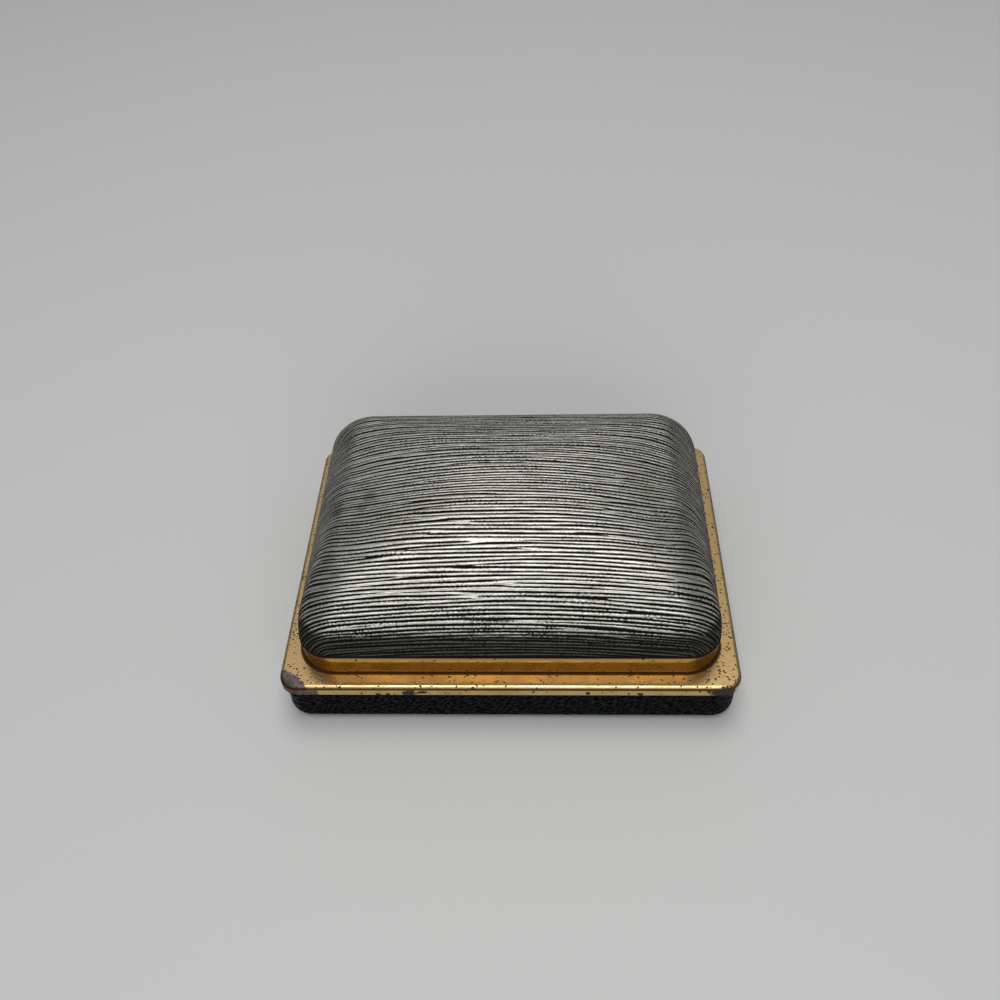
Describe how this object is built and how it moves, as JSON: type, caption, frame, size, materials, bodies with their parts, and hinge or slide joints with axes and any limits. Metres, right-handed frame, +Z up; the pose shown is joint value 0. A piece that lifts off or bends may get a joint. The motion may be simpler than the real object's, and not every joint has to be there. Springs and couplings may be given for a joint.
{
  "type": "instrument case",
  "caption": "Small hinged case with a gilt metal frame, padded dome lid in ribbed cloth, leathercloth tray and fitted velvet insert; the lid opens on sprung rear hinges.",
  "frame": {"origin": "middle of the underside, on the table, with the lid shut", "axes": "+X to the right along the hinges, +Y from the front edge towards the hinges, +Z up out of the lid"},
  "size_m": [0.106, 0.08, 0.0415],
  "materials": {
    "gilt_sheet": "worn gilt, polished, pitted",
    "hinge_brass": "satin",
    "spring_steel": "blued satin",
    "black_leathercloth": "fine diagonal grain, semi-matt",
    "ribbed_cloth": "silver ribs with black grooves, silky",
    "wadding": "cotton wadding",
    "blue_velvet": "short pile velvet",
    "blue_satin": "satin",
    "box_board": "bare thin board",
    "insert_wood": "bare",
    "pressed_board": "pressed board",
    "black_paper_board": "black paper face, matt"
  },
  "bodies": {
    "base": {"base_frame": "gilt_sheet", "base_shell": "box_board", "base_cover": "black_leathercloth", "bottom_panel": "black_paper_board", "insert_tray": "insert_wood", "insert_velvet": "blue_velvet", "hinge_base_leaf_left": "hinge_brass", "hinge_base_leaf_right": "hinge_brass", "hinge_pin_left": "hinge_brass", "hinge_pin_right": "hinge_brass", "snap_spring_left": "spring_steel", "snap_spring_right": "spring_steel", "base_leaf_rivets": "hinge_brass", "spring_rivets": "hinge_brass"},
    "lid": {"lid_rim": "gilt_sheet", "lid_shell": "pressed_board", "lid_padding": "wadding", "lid_cover": "ribbed_cloth", "lid_wall_lining": "blue_velvet", "lid_lining_board": "pressed_board", "lid_lining": "blue_satin", "hinge_lid_leaf_left": "hinge_brass", "hinge_lid_leaf_right": "hinge_brass", "lid_leaf_rivets": "hinge_brass"}
  },
  "joints": [
    {"name": "lid_hinge", "type": "hinge", "parent": "base", "child": "lid", "pos_m": [0, 0.0375, 0.01465], "axis": [-1, 0, 0], "range_deg": [0, 98]}
  ]
}
